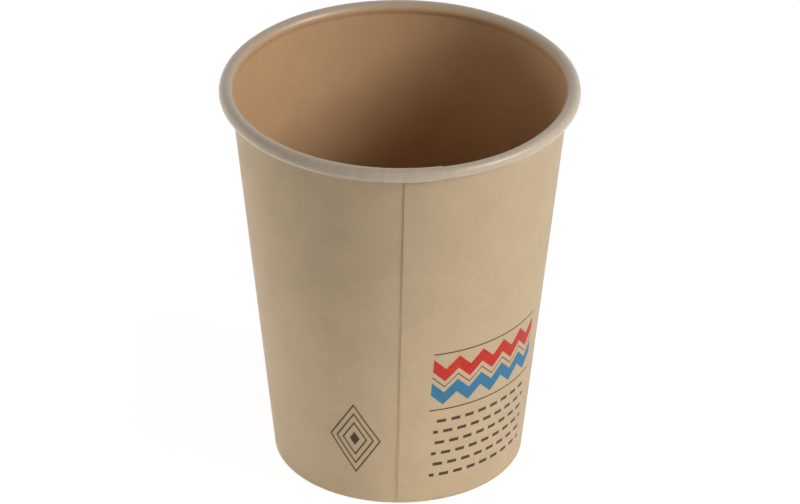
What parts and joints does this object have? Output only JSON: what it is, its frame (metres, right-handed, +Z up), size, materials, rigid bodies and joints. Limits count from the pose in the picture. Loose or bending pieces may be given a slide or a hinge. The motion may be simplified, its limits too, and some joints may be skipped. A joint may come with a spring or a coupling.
{
  "type": "paper cup",
  "caption": "Tapered kraft paper drinking cup with a rolled rim, a lapped side seam and a recessed bottom held in the folded foot of the wall.",
  "frame": {"origin": "centre of the foot, on the surface that the cup stands on", "axes": "+Z up along the cup's axis; the side seam faces -Y, towards the pictured side; +X to the right in the picture"},
  "size_m": [0.08, 0.08, 0.092],
  "materials": {
    "side_wall": "uncoated brown kraft board outside, lined with a thin clear film inside",
    "bottom": "brown kraft board, lined with a thin clear film on its upper face"
  },
  "bodies": {
    "root": {"side_wall": "side_wall", "bottom": "bottom"}
  },
  "joints": []
}
